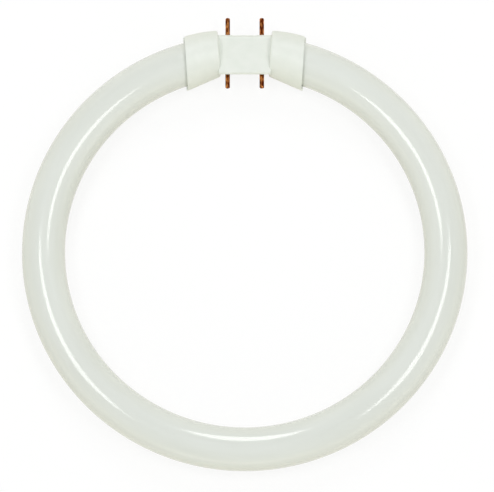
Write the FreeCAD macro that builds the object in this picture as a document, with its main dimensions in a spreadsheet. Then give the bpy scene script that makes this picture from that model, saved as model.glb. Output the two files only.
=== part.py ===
import FreeCAD, Part
import Sketcher
import math
import os

# Ring-shaped fluorescent lamp with a four-pin base, in millimetres.
# The origin is the ring's centre on the tube's mid-plane. +Z is the ring's axis, +Y points to the base.

SIZES = {
    "ring_diameter": 305.0,          # outside of the glass ring
    "tube_diameter": 29.6,           # outside of the glass tube
    "glass_insert": 13.0,            # how far the glass reaches into each collar
    "glass_rounding": 9.0,           # rounded shoulder of each sealed glass end
    "glass_fit": 0.25,               # gap between the glass and the base that holds it
    "seat_run": 2.2,                 # length of the shoulder that the fitted bore also goes round
    "stem_diameter": 10.0,           # hollow of the stem in each glass end
    "stem_depth": 6.0,
    "tip_diameter": 4.0,             # sealed-off exhaust tip in the middle of the stem
    "tip_reach": 4.0,                # how far the tip stands out of the glass end
    "base_offset": 1.1,              # base axis beyond the tube's centre line
    "block_height": 24.0,            # block between the collars, along Y
    "block_depth": 18.0,             # block between the collars, along Z
    "block_rounding": 3.0,           # rounded long edges of the block
    "neck_reach": 17.9,              # base centre to the narrow end of a collar
    "neck_margin": 1.15,             # collar's narrow end larger than the tube, on the radius
    "neck_step": 1.5,                # least step from the block's rounded corners to that narrow end
    "neck_lift": 0.4,                # narrow end's centre beyond the base axis
    "mouth_reach": 40.5,             # base centre to the mouth of a collar
    "mouth_gap": 2.8,                # gap round the glass in a mouth
    "mouth_lift": 0.5,               # mouth's centre beyond the tube's centre line
    "collar_lean": 4.0,              # lean of both ends of a collar, in degrees
    "collar_bulge": 0.4,             # swell of a collar's outer side at half length
    "shell_wall": 1.2,
    "shoulder_rounding": 1.2,        # rounded edge at the narrow end of a collar
    "rear_lip": 1.0,                 # rear half's mouths reach further than the front half's
    "rib_setback": 0.2,              # inside rib behind the end of each mouth
    "rib_thickness": 1.6,            # inside ribs that hold the glass and the pins
    "panel_margin": 3.15,            # outer pin's axis to the recessed panel beside it
    "panel_depth": 0.5,
    "panel_slope": 2.2,              # slant of the panel over the long edge, down the flat side
    "apron_drop": 4.4,               # lip of the front half, past the block's side with the inner pins
    "apron_thickness": 3.6,
    "post_spacing": 10.0,            # posts that locate the two halves on each other
    "post_diameter": 5.2,
    "peg_diameter": 2.8,
    "peg_length": 4.0,
    "peg_fit": 0.05,                 # gap round and past the end of a peg
    "pin_spacing": 23.7,
    "pin_diameter": 3.2,
    "pin_rounding": 0.9,             # rounded edge of a pin's tip
    "outer_pin_length": 14.0,        # length outside the block
    "inner_pin_length": 12.5,
    "root_diameter": 3.8,            # thicker root in the block's wall
    "flange_diameter": 5.4,          # flange against the inside of the wall
    "flange_thickness": 1.0,
    "tail_length": 2.6,              # hollow tail behind the flange
    "pin_fit": 0.05,                 # gap round a pin's root and behind its flange
    "lead_diameter": 0.8,
    "lead_fit": 0.05,                # gap round a lead in a pin's tail and at the stem
    "lead_insert": 2.0,              # length of lead inside a pin's tail
    "lead_offset": 3.5,              # lead to the middle of the stem
    "lead_bend": 2.5,                # radius of a lead's bend
    "lead_run": 0.6,                 # straight run of a lead between its bend and the pin
}

doc = FreeCAD.newDocument("ring_lamp")
sizes = doc.addObject("Spreadsheet::Sheet", "sizes")
for row, (alias, number) in enumerate(SIZES.items(), start=1):
    sizes.set(f"A{row}", alias)
    sizes.set(f"B{row}", str(number))
    sizes.setAlias(f"B{row}", alias)
doc.recompute()

# Lengths that several pieces share, as expressions of the sheet's sizes.
TUBE_RADIUS = "sizes.tube_diameter / 2"
RING_RADIUS = "((sizes.ring_diameter - sizes.tube_diameter) / 2)"
GLASS_END = "(sizes.mouth_reach - sizes.glass_insert)"
GLASS_END_ANGLE = f"asin({GLASS_END} / {RING_RADIUS})"
SEAT_ANGLE = f"asin(({GLASS_END} + sizes.glass_rounding - sizes.seat_run) / {RING_RADIUS})"
BASE_Y = f"({RING_RADIUS} + sizes.base_offset)"
NECK_Y = f"({BASE_Y} + sizes.neck_lift)"
MOUTH_Y = f"(sqrt({RING_RADIUS}^2 - sizes.mouth_reach^2) + sizes.mouth_lift)"
BLOCK_CORNER = (
    "(sqrt((sizes.block_height / 2 - sizes.block_rounding + sizes.neck_lift)^2"
    " + (sizes.block_depth / 2 - sizes.block_rounding)^2) + sizes.block_rounding)"
)
NECK_RADIUS = f"max({TUBE_RADIUS} + sizes.neck_margin; {BLOCK_CORNER} + sizes.neck_step)"
MOUTH_RADIUS = f"({TUBE_RADIUS} + sizes.mouth_gap + sizes.shell_wall)"
PIN_X = "sizes.pin_spacing / 2"
ROOT_HOLE_RADIUS = "sizes.root_diameter / 2 + sizes.pin_fit"
FLANGE_BACK = "(sizes.shell_wall + sizes.flange_thickness)"
TAIL_END = f"({FLANGE_BACK} + sizes.tail_length)"
INSIDE_DEPTH = "(sizes.block_depth / 2 - sizes.shell_wall / 2)"

# Half a turn round the Y axis, which takes a piece to its place on the other side.
TURNED_ROUND = FreeCAD.Placement(FreeCAD.Vector(), FreeCAD.Rotation(FreeCAD.Vector(0, 1, 0), 180))


def measure(expression):
    """Value of an expression of the sheet's sizes, in millimetres or degrees."""
    value = sizes.evalExpression(expression)
    return float(getattr(value, "Value", value))


def origin_plane(body, role):
    return next(feature for feature in body.Origin.OriginFeatures if feature.Role == role)


def new_sketch(body, name, role, offset=("0", "0", "0"), lean=None):
    """Empty sketch on an origin plane of the body, moved by offset and leaned about its upright axis."""
    sketch = body.newObject("Sketcher::SketchObject", name)
    sketch.AttachmentSupport = [(origin_plane(body, role), "")]
    sketch.MapMode = "FlatFace"
    if lean:
        upright = FreeCAD.Rotation(FreeCAD.Vector(0, -1, 0), measure(lean))
        sketch.AttachmentOffset = FreeCAD.Placement(FreeCAD.Vector(), upright)
        sketch.setExpression("AttachmentOffset.Rotation.Angle", lean)
    for axis, expression in zip("xyz", offset):
        sketch.setExpression(f"AttachmentOffset.Base.{axis}", expression)
    return sketch


def place_point(sketch, geometry, point, place):
    """Holds a point of the sketch at a pair of expressions, on an axis where one of them is 0."""
    for kind, axis, expression in (("DistanceX", -2, place[0]), ("DistanceY", -1, place[1])):
        if expression == "0":
            sketch.addConstraint(Sketcher.Constraint("PointOnObject", geometry, point, axis))
        else:
            held = Sketcher.Constraint(kind, -1, 1, geometry, point, measure(expression))
            sketch.setExpression(f"Constraints[{sketch.addConstraint(held)}]", expression)


def circle_sketch(body, name, role, circles, offset=("0", "0", "0"), lean=None):
    """Sketch of circles, each a radius and the two coordinates of its centre."""
    sketch = new_sketch(body, name, role, offset, lean)
    for radius, across, up in circles:
        centre = FreeCAD.Vector(measure(across), measure(up), 0)
        circle = Part.Circle(centre, FreeCAD.Vector(0, 0, 1), measure(radius))
        geometry = sketch.addGeometry(circle, False)
        place_point(sketch, geometry, 3, (across, up))
        held = sketch.addConstraint(Sketcher.Constraint("Radius", geometry, measure(radius)))
        sketch.setExpression(f"Constraints[{held}]", radius)
    doc.recompute()
    return sketch


def outline_sketch(body, name, role, corners, arcs=None, offset=("0", "0", "0")):
    """Sketch of a closed outline. arcs maps a side, counted from its first corner, to the radius and
    centre of a round side that turns anticlockwise; the other sides are straight."""
    arcs = arcs or {}
    sketch = new_sketch(body, name, role, offset)
    points = [FreeCAD.Vector(measure(across), measure(up), 0) for across, up in corners]
    for side, start in enumerate(points):
        end = points[(side + 1) % len(points)]
        if side not in arcs:
            sketch.addGeometry(Part.LineSegment(start, end), False)
            continue
        radius, across, up = arcs[side]
        centre = FreeCAD.Vector(measure(across), measure(up), 0)
        circle = Part.Circle(centre, FreeCAD.Vector(0, 0, 1), measure(radius))
        first, last = ((spot - centre) for spot in (start, end))
        angles = (math.atan2(first.y, first.x), math.atan2(last.y, last.x))
        sketch.addGeometry(Part.ArcOfCircle(circle, *angles), False)
    for side, corner in enumerate(corners):
        before = (side - 1) % len(corners)
        sketch.addConstraint(Sketcher.Constraint("Coincident", before, 2, side, 1))
        place_point(sketch, side, 1, corner)
    for side, (radius, _, _) in arcs.items():
        held = sketch.addConstraint(Sketcher.Constraint("Radius", side, measure(radius)))
        sketch.setExpression(f"Constraints[{held}]", radius)
    doc.recompute()
    return sketch


def feature(body, kind, name, profile, **settings):
    """Adds a PartDesign feature made from a sketch. Text settings of a number are expressions."""
    made = body.newObject(f"PartDesign::{kind}", name)
    made.Profile = profile
    for setting, value in settings.items():
        if setting in ("Length", "Length2", "Angle"):
            made.setExpression(setting, value)
        else:
            setattr(made, setting, value)
    doc.recompute()
    return made


def mirror_across_middle(body, name, originals=()):
    """Mirrors features, or the whole shape where none is named, to the lamp's other side."""
    made = body.newObject("PartDesign::Mirrored", name)
    made.MirrorPlane = (origin_plane(body, "YZ_Plane"), [""])
    if originals:
        made.Originals = list(originals)
    else:
        made.TransformMode = "Whole shape"
    body.Tip = made
    doc.recompute()
    return made


def round_edges(body, name, radius, chosen):
    """Rounds the edges of the body's last feature that the function chosen picks."""
    base = body.Tip
    edges = [f"Edge{number}" for number, edge in enumerate(base.Shape.Edges, start=1) if chosen(edge)]
    made = body.newObject("PartDesign::Fillet", name)
    made.Base = (base, edges)
    made.setExpression("Radius", radius)
    doc.recompute()
    return made


def glass_tube():
    """The bent glass tube, open between its two ends, with a stem hollow and exhaust tip in each end."""
    body = doc.addObject("PartDesign::Body", "glass_tube")
    section = circle_sketch(body, "tube_section", "YZ_Plane", [(TUBE_RADIUS, f"-{RING_RADIUS}", "0")])
    feature(
        body, "Revolution", "bent_tube", section,
        ReferenceAxis=(section, ["V_Axis"]), Angle=f"360 deg - 2 * {GLASS_END_ANGLE}", Midplane=True,
    )
    radius = measure(TUBE_RADIUS)
    round_edges(
        body, "sealed_shoulders", "sizes.glass_rounding",
        lambda edge: edge.Curve.TypeId == "Part::GeomCircle" and math.isclose(edge.Curve.Radius, radius),
    )
    stem, tip = (
        circle_sketch(body, name, "YZ_Plane", [(radius, RING_RADIUS, "0")], lean=GLASS_END_ANGLE)
        for name, radius in (
            ("stem_section", "sizes.stem_diameter / 2"),
            ("tip_section", "sizes.tip_diameter / 2"),
        )
    )
    hollow = feature(body, "Pocket", "stem_hollow", stem, Length="sizes.stem_depth", Reversed=True)
    exhaust = feature(
        body, "Pad", "exhaust_tip", tip,
        SideType="Two sides", Length="sizes.stem_depth", Length2="sizes.tip_reach",
    )
    mirror_across_middle(body, "other_end", (hollow, exhaust))
    return body


def collar_section(reach, inset):
    """Height and radius of a collar at a distance from the base centre, inset from its outside."""
    share = f"(({reach} - sizes.neck_reach) / (sizes.mouth_reach - sizes.neck_reach))"
    swell = f"(4 * sizes.collar_bulge * {share} * (1 - {share}))"
    height = f"({NECK_Y} + {share} * ({MOUTH_Y} - {NECK_Y}) + {swell})"
    radius = f"{NECK_RADIUS} + {share} * ({MOUTH_RADIUS} - {NECK_RADIUS}) + {swell} - {inset}"
    return height, radius


def collar_circle(body, name, reach, inset):
    """Circle of a collar's outside, or of its inside, on a plane that leans as the collar's ends do."""
    height, radius = collar_section(reach, inset)
    return circle_sketch(
        body, name, "YZ_Plane", [(radius, "0", "0")], (height, "0", reach), "sizes.collar_lean",
    )


def block_outline(body, name, inset):
    """Rounded rectangle of the block's section, inset from its outside, in Y and Z."""
    half_height = f"(sizes.block_height / 2 - {inset})"
    half_depth = f"(sizes.block_depth / 2 - {inset})"
    rounding = f"(sizes.block_rounding - {inset})"
    low, high = f"{BASE_Y} - {half_height}", f"{BASE_Y} + {half_height}"
    flat_low, flat_high = f"{low} + {rounding}", f"{high} - {rounding}"
    rear, front = f"-{half_depth}", half_depth
    flat_rear, flat_front = f"{rounding} - {half_depth}", f"{half_depth} - {rounding}"
    corners = [
        (flat_low, rear), (flat_high, rear), (high, flat_rear), (high, flat_front),
        (flat_high, front), (flat_low, front), (low, flat_front), (low, flat_rear),
    ]
    arcs = {
        1: (rounding, flat_high, flat_rear), 3: (rounding, flat_high, flat_front),
        5: (rounding, flat_low, flat_front), 7: (rounding, flat_low, flat_rear),
    }
    return outline_sketch(body, name, "YZ_Plane", corners, arcs)


def rectangle(body, name, low_x, high_x, low_y, high_y):
    corners = [(low_x, low_y), (high_x, low_y), (high_x, high_y), (low_x, high_y)]
    return outline_sketch(body, name, "XY_Plane", corners)


def collar_with_cavity(body, with_lip):
    """One collar, hollow, with its rounded shoulder, joined to half of the block."""
    feature(
        body, "Pad", "half_block", block_outline(body, "block_section", "0"),
        Length="sizes.neck_reach + sizes.shell_wall",
    )
    middle = "((sizes.neck_reach + sizes.mouth_reach) / 2)"
    outside = [
        collar_circle(body, name, reach, "0")
        for name, reach in (
            ("neck", "sizes.neck_reach"),
            ("middle", middle),
            ("mouth", "sizes.mouth_reach"),
        )
    ]
    feature(body, "AdditiveLoft", "collar", outside[0], Sections=outside[1:])
    neck, wall = measure("sizes.neck_reach"), measure("sizes.shell_wall")
    half_girth = math.pi * measure(NECK_RADIUS)
    round_edges(
        body, "shoulder", "sizes.shoulder_rounding",
        lambda edge: edge.Length > half_girth and abs(edge.CenterOfMass.x - neck) < wall,
    )
    if with_lip:
        height, radius = collar_section("sizes.mouth_reach", "0")
        rims = [(radius, "0", "0"), (f"{radius} - sizes.shell_wall", "0", "0")]
        lip = circle_sketch(
            body, "lip_section", "YZ_Plane", rims, (height, "0", "sizes.mouth_reach"), "sizes.collar_lean",
        )
        feature(body, "Pad", "mouth_lip", lip, Length="sizes.rear_lip")
    inside = [
        collar_circle(body, name, reach, "sizes.shell_wall")
        for name, reach in (
            ("neck_inside", "(sizes.neck_reach + sizes.shell_wall)"),
            ("middle_inside", middle),
            ("mouth_inside", "sizes.mouth_reach"),
        )
    ]
    feature(body, "SubtractiveLoft", "collar_cavity", inside[0], Sections=inside[1:])
    feature(
        body, "Pocket", "block_cavity", block_outline(body, "block_inside", "sizes.shell_wall"),
        Length="sizes.neck_reach + 2 * sizes.shell_wall", Reversed=True,
    )


def glass_seat(body, with_lip):
    """Rib inside the collar's mouth that holds the glass, and the clearance round the glass."""
    lip = "sizes.rear_lip" if with_lip else "0"
    reach = f"(sizes.mouth_reach + {lip} - sizes.rib_setback)"
    tilt = f"(asin({reach} / {RING_RADIUS}) - sizes.collar_lean * 1 deg)"
    drift = f"sizes.rib_thickness / 2 * tan({tilt})"
    hole = f"{TUBE_RADIUS} / cos({tilt}) + {drift} + sizes.glass_fit"
    height, radius = collar_section(reach, "sizes.shell_wall / 2")
    glass_middle = f"sqrt({RING_RADIUS}^2 - {reach}^2) - {height} + {drift}"
    rib = circle_sketch(
        body, "rib_section", "YZ_Plane", [(radius, "0", "0"), (hole, glass_middle, "0")],
        (height, "0", reach), "sizes.collar_lean",
    )
    feature(body, "Pad", "glass_rib", rib, Length="sizes.rib_thickness", Reversed=True)
    path = circle_sketch(
        body, "glass_path", "YZ_Plane", [(f"{TUBE_RADIUS} + sizes.glass_fit", RING_RADIUS, "0")],
        lean=SEAT_ANGLE,
    )
    beyond = f"asin((sizes.mouth_reach + sizes.glass_insert) / {RING_RADIUS})"
    feature(
        body, "Groove", "glass_clearance", path,
        ReferenceAxis=(path, ["V_Axis"]), Angle=f"{beyond} - {SEAT_ANGLE}", Reversed=True,
    )


def pin_seats(body):
    """Ribs behind the flanges of an outer and an inner pin, which end in the wall of the block's rounded
    edge, and the holes that take the pins' roots."""
    half_width = "sizes.flange_diameter / 2 + sizes.shell_wall"
    near = f"sizes.block_height / 2 - {FLANGE_BACK} - sizes.pin_fit"
    far = f"{near} - sizes.rib_thickness"
    low_x, high_x = f"{PIN_X} - ({half_width})", f"{PIN_X} + {half_width}"
    into_edge = f"max(0; {near} - sizes.block_height / 2 + sizes.block_rounding)"
    half_wall_edge = "(sizes.block_rounding - sizes.shell_wall / 2)"
    depth = f"sizes.block_depth / 2 - sizes.block_rounding + sqrt({half_wall_edge}^2 - {into_edge}^2)"
    for name, low_y, high_y in (
        ("outer_pin_rib", f"{BASE_Y} + {far}", f"{BASE_Y} + {near}"),
        ("inner_pin_rib", f"{BASE_Y} - ({near})", f"{BASE_Y} - ({far})"),
    ):
        section = rectangle(body, f"{name}_section", low_x, high_x, low_y, high_y)
        feature(body, "Pad", name, section, Length=depth)
    hole = circle_sketch(
        body, "pin_hole_section", "XZ_Plane", [(ROOT_HOLE_RADIUS, PIN_X, "0")], ("0", "0", f"-{BASE_Y}"),
    )
    feature(body, "Pocket", "pin_holes", hole, SideType="Symmetric", Length="2 * sizes.block_height")


def panel_recess(body):
    """Shallow recessed panel between the outer pins, which slants over the block's long edge."""
    depth, slope = "sizes.panel_depth", "sizes.panel_slope"
    top = f"{BASE_Y} + sizes.block_height / 2"
    front = "sizes.block_depth / 2"
    corners = [
        (f"{top} - {depth}", "0"),
        (f"{top} - {depth}", f"{front} - {slope} + {depth}"),
        (f"{top} - {slope}", front),
        (f"{top} - {slope}", f"{front} + {depth}"),
        (f"{top} + {depth}", f"{front} + {depth}"),
        (f"{top} + {depth}", "0"),
    ]
    outline = outline_sketch(body, "panel_section", "YZ_Plane", corners)
    width = "sizes.pin_spacing - 2 * sizes.panel_margin"
    feature(body, "Pocket", "panel", outline, SideType="Symmetric", Length=width)


def front_apron(body):
    """Lip with a half-round edge that carries the block's flat side on past the roots of the inner pins."""
    low = f"{BASE_Y} - sizes.block_height / 2"
    radius = "sizes.apron_thickness / 2"
    front = "sizes.block_depth / 2"
    back = f"{front} - sizes.apron_thickness"
    middle_z = f"{front} - {radius}"
    edge_y = f"{low} - sizes.apron_drop"
    round_y = f"{edge_y} + {radius}"
    high_y = f"{low} + sizes.block_rounding"
    corners = [
        (high_y, front), (round_y, front), (edge_y, middle_z), (round_y, back), (high_y, back),
    ]
    quarter = (radius, round_y, middle_z)
    arcs = {1: quarter, 2: quarter}
    outline = outline_sketch(body, "apron_section", "YZ_Plane", corners, arcs)
    feature(body, "Pad", "apron", outline, SideType="Symmetric", Length="2 * sizes.neck_reach")


def locating_posts(body, with_pegs):
    """Two posts on the base's middle line that meet the other half's, with pegs or with sockets."""
    rows = [f"{BASE_Y} {sign} sizes.post_spacing / 2" for sign in "+-"]
    posts = circle_sketch(
        body, "post_section", "XY_Plane", [("sizes.post_diameter / 2", "0", row) for row in rows],
    )
    feature(body, "Pad", "posts", posts, Length=INSIDE_DEPTH)
    if with_pegs:
        pegs = circle_sketch(
            body, "peg_section", "XY_Plane", [("sizes.peg_diameter / 2", "0", row) for row in rows],
        )
        feature(body, "Pad", "pegs", pegs, Length="sizes.peg_length", Reversed=True)
        return
    socket_radius = "sizes.peg_diameter / 2 + sizes.peg_fit"
    sockets = circle_sketch(
        body, "socket_section", "XY_Plane", [(socket_radius, "0", row) for row in rows],
    )
    feature(body, "Pocket", "sockets", sockets, Length="sizes.peg_length + sizes.peg_fit", Reversed=True)


def base_half(label, is_rear):
    """One moulded half of the base, made as the front half. The rear half is turned round the Y axis."""
    body = doc.addObject("PartDesign::Body", label)
    collar_with_cavity(body, with_lip=is_rear)
    glass_seat(body, with_lip=is_rear)
    pin_seats(body)
    margin = "sizes.tube_diameter"
    other_half = rectangle(
        body, "other_half", "-sizes.shell_wall", f"sizes.mouth_reach + {margin}",
        f"{BASE_Y} - 2 * {margin}", f"{BASE_Y} + {margin}",
    )
    feature(body, "Pocket", "parting_cut", other_half, Type="ThroughAll")
    mirror_across_middle(body, "whole_half")
    panel_recess(body)
    locating_posts(body, with_pegs=is_rear)
    if is_rear:
        body.Placement = TURNED_ROUND
    else:
        front_apron(body)
    doc.recompute()
    return body


def contact_pin(label, side, direction, length):
    """Turned pin with a hollow tail for its lead. It is made along +Y, with Y 0 at the block's outside,
    and the inner pins are turned to point inwards."""
    body = doc.addObject("PartDesign::Body", label)
    shank = "sizes.pin_diameter / 2"
    root = "sizes.root_diameter / 2"
    flange = "sizes.flange_diameter / 2"
    bore = "sizes.lead_diameter / 2 + sizes.lead_fit"
    bore_end = f"sizes.lead_insert - {TAIL_END}"
    corners = [
        ("0", bore_end), (bore, bore_end), (bore, f"-{TAIL_END}"), (root, f"-{TAIL_END}"),
        (root, f"-{FLANGE_BACK}"), (flange, f"-{FLANGE_BACK}"), (flange, "-sizes.shell_wall"),
        (root, "-sizes.shell_wall"), (root, "0"), (shank, "0"), (shank, length), ("0", length),
    ]
    profile = outline_sketch(body, f"{label}_profile", "XY_Plane", corners)
    feature(
        body, "Revolution", f"{label}_turned", profile,
        ReferenceAxis=(profile, ["V_Axis"]), Angle="360 deg",
    )
    tip = measure(length)
    round_edges(
        body, f"{label}_tip", "sizes.pin_rounding",
        lambda edge: edge.Curve.TypeId == "Part::GeomCircle" and math.isclose(edge.CenterOfMass.y, tip),
    )
    sign = "+" if direction > 0 else "-"
    turn = 0 if direction > 0 else 180
    body.Placement = FreeCAD.Placement(FreeCAD.Vector(), FreeCAD.Rotation(FreeCAD.Vector(0, 0, 1), turn))
    body.setExpression("Placement.Base.x", f"{side} * {PIN_X}")
    body.setExpression("Placement.Base.y", f"{BASE_Y} {sign} sizes.block_height / 2")
    doc.recompute()
    return body


def lead_wire(label, side, direction):
    """Lead from the bottom of a pin's tail to the floor of the stem hollow: a straight run, a bend and a
    straight run. It is made on the right and turned round the Y axis for the left."""
    body = doc.addObject("PartDesign::Body", label)
    outward, inward = ("+", "-") if direction > 0 else ("-", "+")
    tail = f"{BASE_Y} {outward} (sizes.block_height / 2 - {TAIL_END})"
    pin_end = (PIN_X, f"{tail} {outward} sizes.lead_insert")
    bend_start = (PIN_X, f"{tail} {inward} sizes.lead_run")
    stem = f"({RING_RADIUS} {outward} sizes.lead_offset)"
    depth = "(sizes.stem_depth - sizes.lead_fit)"
    stem_end = (
        f"{stem} * sin({GLASS_END_ANGLE}) + {depth} * cos({GLASS_END_ANGLE})",
        f"{stem} * cos({GLASS_END_ANGLE}) - {depth} * sin({GLASS_END_ANGLE})",
    )

    route = new_sketch(body, f"{label}_route", "XY_Plane")
    first, second, last = (
        FreeCAD.Vector(measure(across), measure(up), 0) for across, up in (pin_end, bend_start, stem_end)
    )
    bend = measure("sizes.lead_bend")
    centre = second + FreeCAD.Vector(bend, 0, 0)
    bend_end = centre - FreeCAD.Vector(0, direction * bend, 0)
    circle = Part.Circle(centre, FreeCAD.Vector(0, 0, 1), bend)
    quarter = math.pi / 2
    angles = (2 * quarter, 3 * quarter) if direction > 0 else (quarter, 2 * quarter)
    route.addGeometry(Part.LineSegment(first, second), False)
    route.addGeometry(Part.ArcOfCircle(circle, *angles), False)
    route.addGeometry(Part.LineSegment(bend_end, last), False)
    near, far = (1, 2) if direction > 0 else (2, 1)
    route.addConstraint(Sketcher.Constraint("Tangent", 0, 2, 1, near))
    route.addConstraint(Sketcher.Constraint("Tangent", 1, far, 2, 1))
    for geometry, point, place in ((0, 1, pin_end), (0, 2, bend_start), (2, 2, stem_end)):
        place_point(route, geometry, point, place)
    held = route.addConstraint(Sketcher.Constraint("Radius", 1, bend))
    route.setExpression(f"Constraints[{held}]", "sizes.lead_bend")
    doc.recompute()

    section = circle_sketch(
        body, f"{label}_section", "XZ_Plane", [("sizes.lead_diameter / 2", PIN_X, "0")],
        ("0", "0", f"-({pin_end[1]})"),
    )
    feature(body, "AdditivePipe", f"{label}_wire", section, Spine=(route, ["Edge1", "Edge2", "Edge3"]))
    if side < 0:
        body.Placement = TURNED_ROUND
    doc.recompute()
    return body


pieces = [glass_tube(), base_half("front_shell", False), base_half("rear_shell", True)]
for side_name, side in (("left", -1), ("right", 1)):
    pieces.append(contact_pin(f"outer_{side_name}_pin", side, 1, "sizes.outer_pin_length"))
    pieces.append(contact_pin(f"inner_{side_name}_pin", side, -1, "sizes.inner_pin_length"))
    pieces.append(lead_wire(f"{side_name}_outer_lead", side, 1))
    pieces.append(lead_wire(f"{side_name}_inner_lead", side, -1))

doc.recompute()
failed = [thing.Label for thing in doc.Objects if {"Invalid", "Error"} & set(thing.State)]
failed += [piece.Label for piece in pieces if piece.Shape.isNull() or not piece.Shape.isValid()]
if failed:
    raise RuntimeError(f"not built: {failed}")

os.makedirs("parts", exist_ok=True)
for piece in pieces:
    piece.Shape.exportStep(f"parts/{piece.Label}.step")
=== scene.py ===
import math

import bpy
import numpy as np
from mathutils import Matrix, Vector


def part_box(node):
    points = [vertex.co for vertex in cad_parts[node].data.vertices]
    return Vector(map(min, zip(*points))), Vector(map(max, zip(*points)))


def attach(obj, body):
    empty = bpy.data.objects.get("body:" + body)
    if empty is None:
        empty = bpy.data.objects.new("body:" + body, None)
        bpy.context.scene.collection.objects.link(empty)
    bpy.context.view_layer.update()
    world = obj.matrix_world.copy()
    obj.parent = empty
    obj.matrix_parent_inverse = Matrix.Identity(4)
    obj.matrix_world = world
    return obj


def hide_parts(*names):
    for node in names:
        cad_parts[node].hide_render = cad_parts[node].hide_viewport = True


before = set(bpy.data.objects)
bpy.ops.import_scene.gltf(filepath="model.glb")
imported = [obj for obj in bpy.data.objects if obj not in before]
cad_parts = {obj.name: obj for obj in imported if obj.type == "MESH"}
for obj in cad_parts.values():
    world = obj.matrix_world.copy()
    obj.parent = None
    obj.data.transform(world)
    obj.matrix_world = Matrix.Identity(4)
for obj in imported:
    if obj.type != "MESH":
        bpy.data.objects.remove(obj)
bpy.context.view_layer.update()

# Glass tube: soda-lime glass, drawn as a straight tube, coated inside with white phosphor powder, then bent
# to a ring while hot and sealed. The base hides its two ends, each with a hollow stem and a pumping tip.
TUBE_LOW, TUBE_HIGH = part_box("glass_tube")
TUBE_RADIUS = (TUBE_HIGH.z - TUBE_LOW.z) / 2
RING_RADIUS = TUBE_HIGH.x - TUBE_RADIUS
GLASS_END = 0.0275
SHOULDER_ROUNDING = 0.009
STEM_RADIUS, STEM_DEPTH = 0.005, 0.006
TIP_RADIUS, TIP_REACH = 0.002, 0.004
STEPS_ALONG, STEPS_AROUND, STEPS_SHOULDER = 640, 112, 12
SHARP_FROM = math.radians(40)


def tube_profile():
    """Distance from the ring's middle line at the base and tube radius, from one pumping tip to the other.

    One end is the tip's face, the tip's side, the stem's floor and side, the rim and a quarter circle that
    opens to the tube's own radius. The straight run follows, and the other end is the same in reverse.
    """
    turn = np.linspace(0, np.pi / 2, STEPS_SHOULDER)
    rim = TUBE_RADIUS - SHOULDER_ROUNDING
    end_along = np.concatenate((
        [-TIP_REACH, -TIP_REACH, STEM_DEPTH, STEM_DEPTH, 0],
        SHOULDER_ROUNDING * (1 - np.cos(turn)),
    ))
    end_radius = np.concatenate((
        [0, TIP_RADIUS, TIP_RADIUS, STEM_RADIUS, STEM_RADIUS],
        rim + SHOULDER_ROUNDING * np.sin(turn),
    ))
    start = RING_RADIUS * math.asin(GLASS_END / RING_RADIUS)
    length = 2 * np.pi * RING_RADIUS - 2 * start
    straight = np.linspace(SHOULDER_ROUNDING, length - SHOULDER_ROUNDING, STEPS_ALONG)[1:-1]
    along = start + np.concatenate((end_along, straight, length - end_along[::-1]))
    radius = np.concatenate((end_radius, np.full(straight.size, TUBE_RADIUS), end_radius[::-1]))
    return along, radius


def bent_tube(along, radius):
    """Carries a circle of each radius along the ring: the middle of the circle lies at ring radius times
    (sin a, cos a), where a is the length along divided by the ring radius, and its plane holds the Z axis.

    Returns the points and, for each, where it was on the straight tube: across, up and along.
    """
    angle = (along / RING_RADIUS)[:, None]
    around = np.linspace(0, 2 * np.pi, STEPS_AROUND, endpoint=False)[None, :]
    across, up = radius[:, None] * np.cos(around), radius[:, None] * np.sin(around)
    reach = RING_RADIUS + across
    points = np.stack((reach * np.sin(angle), reach * np.cos(angle), up), axis=-1)
    straight = np.stack((across, up, np.broadcast_to(along[:, None], across.shape)), axis=-1)
    return points, straight


def closed_skin(name, points, **vectors):
    """Mesh of a grid of points, closed round its second direction, with a pole at each end of the first.

    The first and the last row of the grid each lie in one point, so each gives one vertex and a fan of
    triangles. vectors are further values of the same grid, kept as attributes of the vertices.
    """
    rows, columns = points.shape[:2]

    def one_point_each_end(grid):
        return np.concatenate((grid[0, :1], grid[1:-1].reshape(-1, 3), grid[-1, :1]))

    column = np.arange(columns)
    after = (column + 1) % columns
    first = 1 + columns * np.arange(rows - 3)[:, None]
    sides = np.stack((first + column, first + after, first + columns + after, first + columns + column), -1)
    last_row = 1 + columns * (rows - 3)
    far_pole = last_row + columns
    near_fan = np.stack((np.zeros_like(column), 1 + after, 1 + column), axis=-1)
    far_fan = np.stack((np.full_like(column, far_pole), last_row + column, last_row + after), axis=-1)
    faces = near_fan.tolist() + sides.reshape(-1, 4)[:, ::-1].tolist() + far_fan.tolist()
    mesh = bpy.data.meshes.new(name)
    mesh.from_pydata(one_point_each_end(points), [], faces)
    for attribute, grid in vectors.items():
        kept = mesh.attributes.new(attribute, "FLOAT_VECTOR", "POINT")
        kept.data.foreach_set("vector", one_point_each_end(grid).astype(np.float32).ravel())
    return mesh


tube_points, tube_straight = bent_tube(*tube_profile())
tube_mesh = closed_skin("opal_glass_tube", tube_points, straight=tube_straight)
tube_mesh.shade_smooth()
tube_mesh.set_sharp_from_angle(angle=SHARP_FROM)
opal_glass_tube = bpy.data.objects.new("opal_glass_tube", tube_mesh)
bpy.context.scene.collection.objects.link(opal_glass_tube)


def linear(hex_colour):
    """Linear red, green, blue and alpha of an sRGB hex colour."""
    shares = np.array([int(hex_colour[place:place + 2], 16) / 255 for place in (1, 3, 5)])
    low, high = shares / 12.92, ((shares + 0.055) / 1.055) ** 2.4
    return (*np.where(shares <= 0.04045, low, high).tolist(), 1.0)


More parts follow.
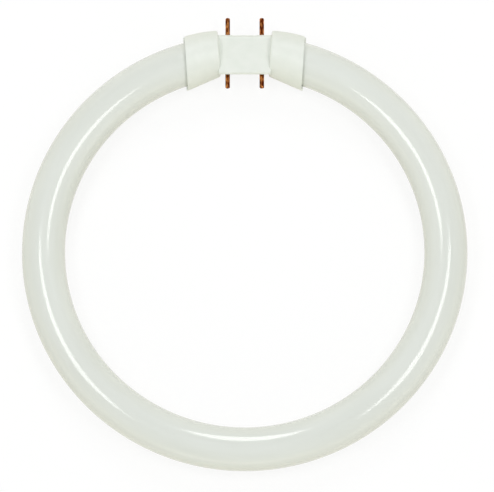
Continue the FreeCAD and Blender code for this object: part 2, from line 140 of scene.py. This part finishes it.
def add(tree, kind, inputs=(), **settings):
    """Adds a shader node. settings are its own properties, and inputs give each named socket a value or
    the output of another node."""
    made = tree.nodes.new(f"ShaderNode{kind}")
    for name, value in settings.items():
        setattr(made, name, value)
    for socket, value in dict(inputs).items():
        if isinstance(value, bpy.types.NodeSocket):
            tree.links.new(value, made.inputs[socket])
        else:
            made.inputs[socket].default_value = value
    return made


# Phosphor under clear glass: the powder is a dull greenish white that varies a little where the slurry ran
# along the straight tube, and the glass over it is smooth, so lamps show as streaks on a soft white.
PHOSPHOR_THICK, PHOSPHOR_THIN = "#E0E3DE", "#DBDED8"
GLASS_IOR, GLASS_ROUGHNESS = 1.52, 0.11
RUN_ACROSS, RUN_ALONG = 0.012, 0.09
RUN_THIN_BELOW, RUN_THICK_ABOVE = 0.3, 0.65

opal_glass = bpy.data.materials.new("phosphor_coated_soda_lime_glass")
opal_glass.use_nodes = True
tree = opal_glass.node_tree
glass_shader = tree.nodes["Principled BSDF"]
straight = add(tree, "Attribute", attribute_name="straight").outputs["Vector"]
runs = add(tree, "Mapping", {"Vector": straight, "Scale": (1, 1, RUN_ACROSS / RUN_ALONG)}).outputs["Vector"]
cloud = add(tree, "TexNoise", {"Vector": runs, "Scale": 1 / RUN_ACROSS, "Detail": 3.0, "Roughness": 0.55})
coat = add(tree, "ValToRGB", {"Fac": cloud.outputs["Fac"]})
thin, thick = coat.color_ramp.elements
thin.position, thin.color = RUN_THIN_BELOW, linear(PHOSPHOR_THIN)
thick.position, thick.color = RUN_THICK_ABOVE, linear(PHOSPHOR_THICK)
tree.links.new(coat.outputs["Color"], glass_shader.inputs["Base Color"])
glass_shader.inputs["IOR"].default_value = GLASS_IOR
glass_shader.inputs["Roughness"].default_value = GLASS_ROUGHNESS

tube_mesh.materials.append(opal_glass)
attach(opal_glass_tube, "root")
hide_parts("glass_tube")

# Base: two injection-moulded half shells of white thermoplastic that meet on the ring's mid-plane and close
# over the glass ends and the pins. The surface is satin, with a fine grain from the mould that is drawn
# coarser than it is, so that it shows.
PLASTIC_PLAIN, PLASTIC_SHADE = "#E5E8E2", "#E1E5DE"
PLASTIC_IOR, PLASTIC_ROUGHNESS = 1.49, 0.42
FLOW_SIZE = 0.008
FLOW_SHADE_BELOW, FLOW_PLAIN_ABOVE = 0.3, 0.7
GRAIN_SIZE, GRAIN_DEPTH = 0.0007, 0.000012

white_plastic = bpy.data.materials.new("moulded_white_polycarbonate")
white_plastic.use_nodes = True
tree = white_plastic.node_tree
plastic_shader = tree.nodes["Principled BSDF"]
place = add(tree, "TexCoord").outputs["Object"]
flow = add(tree, "TexNoise", {"Vector": place, "Scale": 1 / FLOW_SIZE, "Detail": 2.0, "Distortion": 0.6})
tint = add(tree, "ValToRGB", {"Fac": flow.outputs["Fac"]})
shade, plain = tint.color_ramp.elements
shade.position, shade.color = FLOW_SHADE_BELOW, linear(PLASTIC_SHADE)
plain.position, plain.color = FLOW_PLAIN_ABOVE, linear(PLASTIC_PLAIN)
tree.links.new(tint.outputs["Color"], plastic_shader.inputs["Base Color"])
grain = add(tree, "TexNoise", {"Vector": place, "Scale": 1 / GRAIN_SIZE, "Detail": 2.0})
pitted = add(tree, "Bump", {"Height": grain.outputs["Fac"], "Distance": GRAIN_DEPTH, "Strength": 1.0})
tree.links.new(pitted.outputs["Normal"], plastic_shader.inputs["Normal"])
plastic_shader.inputs["IOR"].default_value = PLASTIC_IOR
plastic_shader.inputs["Roughness"].default_value = PLASTIC_ROUGHNESS

for shell in ("front_shell", "rear_shell"):
    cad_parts[shell].material_slots[0].material = white_plastic

# Contact pins: turned brass with a copper flash, clamped between the shells by a flange. Their colour is
# partly
# tarnish and partly painted reflection: streaks along each pin run between a dark brown and a bright
# copper, the dark streaks standing in for the dark surroundings the pins mirror and the bright ones for
# painted highlights.
PIN_COPPER_AND_PAINTED_HIGHLIGHT, PIN_TARNISH_AND_PAINTED_DARK_REFLECTION = "#DC9050", "#5E2108"
PIN_ROUGHNESS_BRIGHT, PIN_ROUGHNESS_BROWN = 0.22, 0.38
PIN_STREAK_ACROSS, PIN_STREAK_ALONG = 0.0011, 0.0034
BROWN_BELOW, BRIGHT_ABOVE = 0.46, 0.62

contact_brass = bpy.data.materials.new("copper_flashed_brass_tarnish_and_painted_reflection")
contact_brass.use_nodes = True
tree = contact_brass.node_tree
pin_shader = tree.nodes["Principled BSDF"]
place = add(tree, "TexCoord").outputs["Object"]
drawn = add(tree, "Mapping", {"Vector": place, "Scale": (1, PIN_STREAK_ACROSS / PIN_STREAK_ALONG, 1)})
patches = add(tree, "TexNoise", {
    "Vector": drawn.outputs["Vector"], "Scale": 1 / PIN_STREAK_ACROSS, "Detail": 3.0,
})
# Painted reflection and tarnish: this ramp from dark brown to bright copper paints the pins' dark and
# bright mirrored bands as streaks along them.
tarnish_and_painted_reflection = add(tree, "ValToRGB", {"Fac": patches.outputs["Fac"]})
brown, bright = tarnish_and_painted_reflection.color_ramp.elements
brown.position, brown.color = BROWN_BELOW, linear(PIN_TARNISH_AND_PAINTED_DARK_REFLECTION)
bright.position, bright.color = BRIGHT_ABOVE, linear(PIN_COPPER_AND_PAINTED_HIGHLIGHT)
tree.links.new(tarnish_and_painted_reflection.outputs["Color"], pin_shader.inputs["Base Color"])
gloss = add(tree, "MapRange", {
    "Value": patches.outputs["Fac"], "From Min": BROWN_BELOW, "From Max": BRIGHT_ABOVE,
    "To Min": PIN_ROUGHNESS_BROWN, "To Max": PIN_ROUGHNESS_BRIGHT,
})
tree.links.new(gloss.outputs["Result"], pin_shader.inputs["Roughness"])
pin_shader.inputs["Metallic"].default_value = 1.0

for pin in ("outer_left_pin", "outer_right_pin", "inner_left_pin", "inner_right_pin"):
    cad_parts[pin].material_slots[0].material = contact_brass

# Leads: drawn nickel-iron wire, crimped in the pins' tails and melted into the glass stems. The closed base
# hides them.
WIRE_BRIGHT, WIRE_DULL = "#B9B6AE", "#8F8C84"
WIRE_ROUGHNESS = 0.35
DRAW_LINE = 0.0006

lead_wire = bpy.data.materials.new("drawn_nickel_iron_wire")
lead_wire.use_nodes = True
tree = lead_wire.node_tree
wire_shader = tree.nodes["Principled BSDF"]
place = add(tree, "TexCoord").outputs["Object"]
lines = add(tree, "TexNoise", {"Vector": place, "Scale": 1 / DRAW_LINE, "Detail": 2.0})
dulled = add(tree, "ValToRGB", {"Fac": lines.outputs["Fac"]})
dull, bright = dulled.color_ramp.elements
dull.color, bright.color = linear(WIRE_DULL), linear(WIRE_BRIGHT)
tree.links.new(dulled.outputs["Color"], wire_shader.inputs["Base Color"])
wire_shader.inputs["Metallic"].default_value = 1.0
wire_shader.inputs["Roughness"].default_value = WIRE_ROUGHNESS

for lead in ("left_outer_lead", "left_inner_lead", "right_outer_lead", "right_inner_lead"):
    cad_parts[lead].material_slots[0].material = lead_wire

# Floor: a wide sheet of matt white paper. The lamp rests on the undersides of its collars and on the glass
# opposite the base, so the sheet slopes by the small angle between those two. It is seen almost burnt out,
# with a faint shadow left, and throws a warmer light back on the lamp.
FLOOR_HALF = 4.0
PAPER, PAPER_BOUNCE = "#FFFFFF", "#EAE4CE"
PAPER_GLOW = 0.85

shell_low, shell_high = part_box("rear_shell")
collar_y = RING_RADIUS * math.cos(math.asin(shell_high.x / RING_RADIUS))
slope = (shell_low.z - TUBE_LOW.z) / (collar_y + RING_RADIUS)
corner_x, corner_y = np.array([-1, 1, 1, -1]) * FLOOR_HALF, np.array([-1, -1, 1, 1]) * FLOOR_HALF
corner_z = TUBE_LOW.z + slope * (corner_y + RING_RADIUS)
floor_mesh = bpy.data.meshes.new("paper_floor")
floor_mesh.from_pydata(np.stack((corner_x, corner_y, corner_z), axis=-1), [], [(0, 1, 2, 3)])
paper_floor = bpy.data.objects.new("paper_floor", floor_mesh)
bpy.context.scene.collection.objects.link(paper_floor)

paper = bpy.data.materials.new("matt_white_paper")
paper.use_nodes = True
tree = paper.node_tree
tree.nodes.remove(tree.nodes["Principled BSDF"])
path = add(tree, "LightPath").outputs
seen_or_mirrored = add(tree, "Math", {
    0: path["Is Camera Ray"], 1: path["Is Glossy Ray"],
}, operation="MAXIMUM")
seen = add(tree, "Math", {
    0: seen_or_mirrored.outputs[0], 1: path["Is Transmission Ray"],
}, operation="MAXIMUM")
lit = add(tree, "BsdfDiffuse", {"Color": linear(PAPER)}).outputs[0]
glow = add(tree, "Emission", {"Color": linear(PAPER), "Strength": 1.0}).outputs[0]
shown = add(tree, "MixShader", {0: PAPER_GLOW, 1: lit, 2: glow}).outputs[0]
bounce = add(tree, "BsdfDiffuse", {"Color": linear(PAPER_BOUNCE)}).outputs[0]
whole = add(tree, "MixShader", {0: seen.outputs[0], 1: bounce, 2: shown}).outputs[0]
tree.links.new(whole, tree.nodes["Material Output"].inputs["Surface"])
floor_mesh.materials.append(paper)

# Studio light: a soft box on each side above the lamp, one behind the base, and a white cloth tent round it
# all, warmer and brighter near the floor and brightest in front. The boxes show as streaks in the glass.
BOX_X, BOX_Y, BOX_HEIGHT, BOX_TURN = 0.575, -0.03, 1.4, 14.0
BOX_WIDE, BOX_LONG, BOX_RADIANCE = 0.38, 0.72, 6.0
BACK_DISTANCE, BACK_SLANT = 2.08, 45.0
BACK_WIDE, BACK_LONG, BACK_RADIANCE = 0.58, 0.93, 6.0
TENT_TOP, TENT_SIDE = "#F4F8F8", "#F8F5E6"
TENT_HIGH, TENT_LOW, TENT_FRONT, TENT_FALL = 0.42, 1.0, 1.3, 2.0


def soft_box(name, shape, wide, long, radiance, place, turn):
    """Lamp with an even face of the given size. Its power is radiance times pi times the face's area."""
    lamp = bpy.data.lights.new(name, "AREA")
    lamp.shape = shape
    lamp.size, lamp.size_y = wide, long
    face = wide * long * (math.pi / 4 if shape == "ELLIPSE" else 1)
    lamp.energy = radiance * math.pi * face
    box = bpy.data.objects.new(name, lamp)
    box.location, box.rotation_euler = place, turn
    box.visible_camera = False
    bpy.context.scene.collection.objects.link(box)


for side, sign in (("left", -1), ("right", 1)):
    above = (sign * BOX_X, BOX_Y, BOX_HEIGHT)
    turn = (0, 0, sign * math.radians(BOX_TURN))
    soft_box(f"{side}_box", "RECTANGLE", BOX_WIDE, BOX_LONG, BOX_RADIANCE, above, turn)
slant = math.radians(BACK_SLANT)
behind = (0, BACK_DISTANCE * math.sin(slant), BACK_DISTANCE * math.cos(slant))
soft_box("back_box", "ELLIPSE", BACK_WIDE, BACK_LONG, BACK_RADIANCE, behind, (-slant, 0, 0))

tent = bpy.data.worlds.new("white_tent")
tent.use_nodes = True
tree = tent.node_tree
direction = add(tree, "SeparateXYZ", {"Vector": add(tree, "TexCoord").outputs["Generated"]})
lowness = add(tree, "Math", {0: 1.0, 1: direction.outputs["Z"]}, operation="SUBTRACT", use_clamp=True)
fall = add(tree, "Math", {0: lowness.outputs[0], 1: TENT_FALL}, operation="POWER")
forward = add(tree, "Math", {0: direction.outputs["Y"], 1: -1.0}, operation="MULTIPLY", use_clamp=True)
rise = add(tree, "Math", {
    0: forward.outputs[0], 1: TENT_FRONT, 2: TENT_LOW - TENT_HIGH,
}, operation="MULTIPLY_ADD")
level = add(tree, "Math", {
    0: fall.outputs[0], 1: rise.outputs[0], 2: TENT_HIGH,
}, operation="MULTIPLY_ADD")
tree.links.new(level.outputs[0], tree.nodes["Background"].inputs["Strength"])
cloth = add(tree, "ValToRGB", {"Fac": fall.outputs[0]})
top, side_cloth = cloth.color_ramp.elements
top.color, side_cloth.color = linear(TENT_TOP), linear(TENT_SIDE)
tree.links.new(cloth.outputs["Color"], tree.nodes["Background"].inputs["Color"])
bpy.context.scene.world = tent

# Camera: a long lens above the lamp, a little towards the side opposite the base. Its place and focal
# length put the inner and outer edges of the ring where the photo has them.
CAMERA_DISTANCE, CAMERA_TILT = 1.955, 12.09
IMAGE_WIDE = 494
FOCAL_PIXELS, SENSOR_MM = 2856.0, 36.0
SHIFT_X, SHIFT_Y = 0.0046, 0.0074

lens = bpy.data.cameras.new("long_lens")
lens.sensor_width = SENSOR_MM
lens.lens = FOCAL_PIXELS * SENSOR_MM / IMAGE_WIDE
lens.shift_x, lens.shift_y = SHIFT_X, SHIFT_Y
tilt = math.radians(CAMERA_TILT)
camera = bpy.data.objects.new("long_lens", lens)
camera.location = (0, -CAMERA_DISTANCE * math.sin(tilt), CAMERA_DISTANCE * math.cos(tilt))
camera.rotation_euler = (tilt, 0, 0)
bpy.context.scene.collection.objects.link(camera)
bpy.context.scene.camera = camera
bpy.context.scene.view_settings.view_transform = "Standard"
